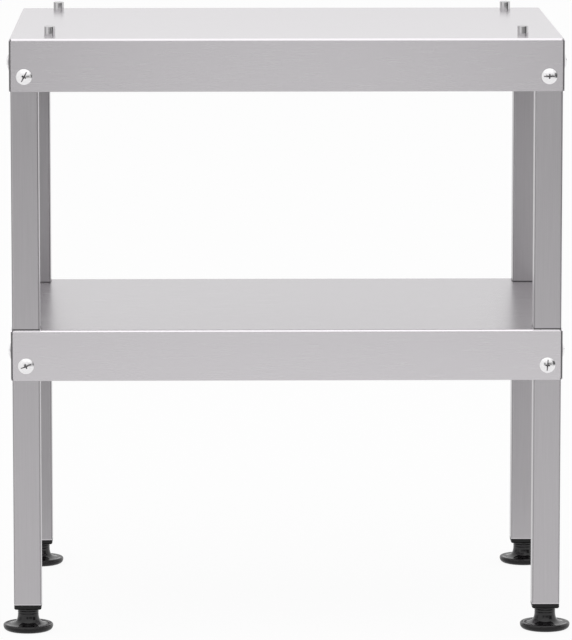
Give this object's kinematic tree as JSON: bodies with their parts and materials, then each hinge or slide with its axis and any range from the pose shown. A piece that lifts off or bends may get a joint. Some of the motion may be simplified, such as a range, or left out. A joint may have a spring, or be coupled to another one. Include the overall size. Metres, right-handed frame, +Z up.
{
  "type": "outdoor pizza oven table",
  "caption": "Two-tier stainless steel stand with folded trays, square tube legs, locating pins on top for an oven, and screw-in levelling feet.",
  "frame": {"origin": "on the floor under the middle of the table", "axes": "+Z up, the front faces -Y, +X to the right seen from the front"},
  "size_m": [0.726, 0.526, 0.772],
  "materials": {
    "brushed_sheet": "satin brushed stainless sheet",
    "brushed_tube": "satin brushed stainless tube",
    "bright_steel": "bright stainless screw heads",
    "turned_steel": "turned stainless pin",
    "zinc_steel": "zinc plated steel",
    "brass_bush": "turned brass",
    "black_plastic": "moulded black plastic with a soft sheen"
  },
  "bodies": {
    "table": {"top_panel": "brushed_sheet", "shelf_panel": "brushed_sheet", "leg_front_left": "brushed_tube", "leg_front_right": "brushed_tube", "leg_rear_left": "brushed_tube", "leg_rear_right": "brushed_tube", "rivet_nuts_front_left": "zinc_steel", "rivet_nuts_front_right": "zinc_steel", "rivet_nuts_rear_left": "zinc_steel", "rivet_nuts_rear_right": "zinc_steel", "top_screws_front": "bright_steel", "top_screws_rear": "bright_steel", "top_screws_left": "bright_steel", "top_screws_right": "bright_steel", "shelf_screws_front": "bright_steel", "shelf_screws_rear": "bright_steel", "shelf_screws_left": "bright_steel", "shelf_screws_right": "bright_steel", "oven_pins": "turned_steel", "pin_washers": "zinc_steel", "pin_nuts": "zinc_steel", "leg_plugs": "black_plastic", "plug_bushes": "brass_bush"},
    "stem_front_left": {"foot_stem_front_left": "zinc_steel"},
    "foot_front_left": {"foot_base_front_left": "black_plastic"},
    "stem_front_right": {"foot_stem_front_right": "zinc_steel"},
    "foot_front_right": {"foot_base_front_right": "black_plastic"},
    "stem_rear_left": {"foot_stem_rear_left": "zinc_steel"},
    "foot_rear_left": {"foot_base_rear_left": "black_plastic"},
    "stem_rear_right": {"foot_stem_rear_right": "zinc_steel"},
    "foot_rear_right": {"foot_base_rear_right": "black_plastic"}
  },
  "joints": [
    {"name": "foot_lift_front_left", "type": "slide", "parent": "table", "child": "stem_front_left", "axis": [0, 0, -1], "range_m": [0, 0.015]},
    {"name": "foot_turn_front_left", "type": "hinge", "parent": "stem_front_left", "child": "foot_front_left", "pos_m": [-0.331, -0.231, 0], "axis": [0, 0, -1], "range_deg": [0, 3600]},
    {"name": "foot_lift_front_right", "type": "slide", "parent": "table", "child": "stem_front_right", "axis": [0, 0, -1], "range_m": [0, 0.015]},
    {"name": "foot_turn_front_right", "type": "hinge", "parent": "stem_front_right", "child": "foot_front_right", "pos_m": [0.331, -0.231, 0], "axis": [0, 0, -1], "range_deg": [0, 3600]},
    {"name": "foot_lift_rear_left", "type": "slide", "parent": "table", "child": "stem_rear_left", "axis": [0, 0, -1], "range_m": [0, 0.015]},
    {"name": "foot_turn_rear_left", "type": "hinge", "parent": "stem_rear_left", "child": "foot_rear_left", "pos_m": [-0.331, 0.231, 0], "axis": [0, 0, -1], "range_deg": [0, 3600]},
    {"name": "foot_lift_rear_right", "type": "slide", "parent": "table", "child": "stem_rear_right", "axis": [0, 0, -1], "range_m": [0, 0.015]},
    {"name": "foot_turn_rear_right", "type": "hinge", "parent": "stem_rear_right", "child": "foot_rear_right", "pos_m": [0.331, 0.231, 0], "axis": [0, 0, -1], "range_deg": [0, 3600]}
  ],
  "couplings": [
    {"joint": "foot_lift_front_left", "follows": "foot_turn_front_left", "m_per_rad": 0.00023873},
    {"joint": "foot_lift_front_right", "follows": "foot_turn_front_right", "m_per_rad": 0.00023873},
    {"joint": "foot_lift_rear_left", "follows": "foot_turn_rear_left", "m_per_rad": 0.00023873},
    {"joint": "foot_lift_rear_right", "follows": "foot_turn_rear_right", "m_per_rad": 0.00023873}
  ]
}
